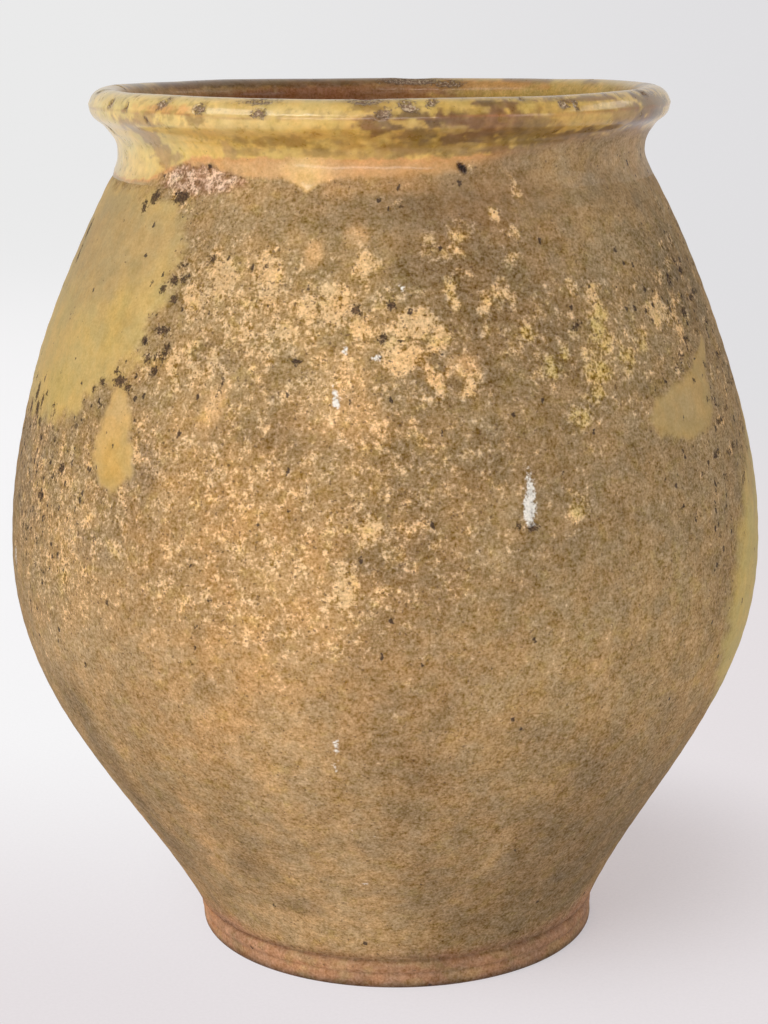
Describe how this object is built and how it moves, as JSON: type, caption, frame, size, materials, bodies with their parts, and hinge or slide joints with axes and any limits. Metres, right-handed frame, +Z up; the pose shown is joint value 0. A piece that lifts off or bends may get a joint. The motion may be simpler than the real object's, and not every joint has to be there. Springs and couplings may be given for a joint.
{
  "type": "confit pot",
  "caption": "Ovoid wheel-thrown earthenware storage jar on a turned foot, with a narrow neck, a rolled glazed lip and a glazed lining.",
  "frame": {"origin": "centre of the bounding box at the bottom of the foot, on the belly's axis", "axes": "+Z up along the jar's height, -Y towards the pictured front, +X to the right of the picture"},
  "size_m": [0.2918, 0.2906, 0.33],
  "materials": {
    "fired_clay": "matte weathered biscuit, tan-ochre with a grey-olive patina",
    "lining_glaze": "glossy brown-amber lead glaze",
    "honey_glaze": "glossy honey-yellow glaze with brown streaks",
    "olive_glaze": "satin olive-yellow glaze splash",
    "ochre_glaze": "satin ochre glaze run"
  },
  "bodies": {
    "root": {"clay_body": "fired_clay", "inner_glaze": "lining_glaze", "rim_glaze": "honey_glaze", "left_shoulder_glaze": "olive_glaze", "left_glaze_tongue": "ochre_glaze", "right_shoulder_glaze": "olive_glaze", "right_side_glaze": "olive_glaze"}
  },
  "joints": []
}
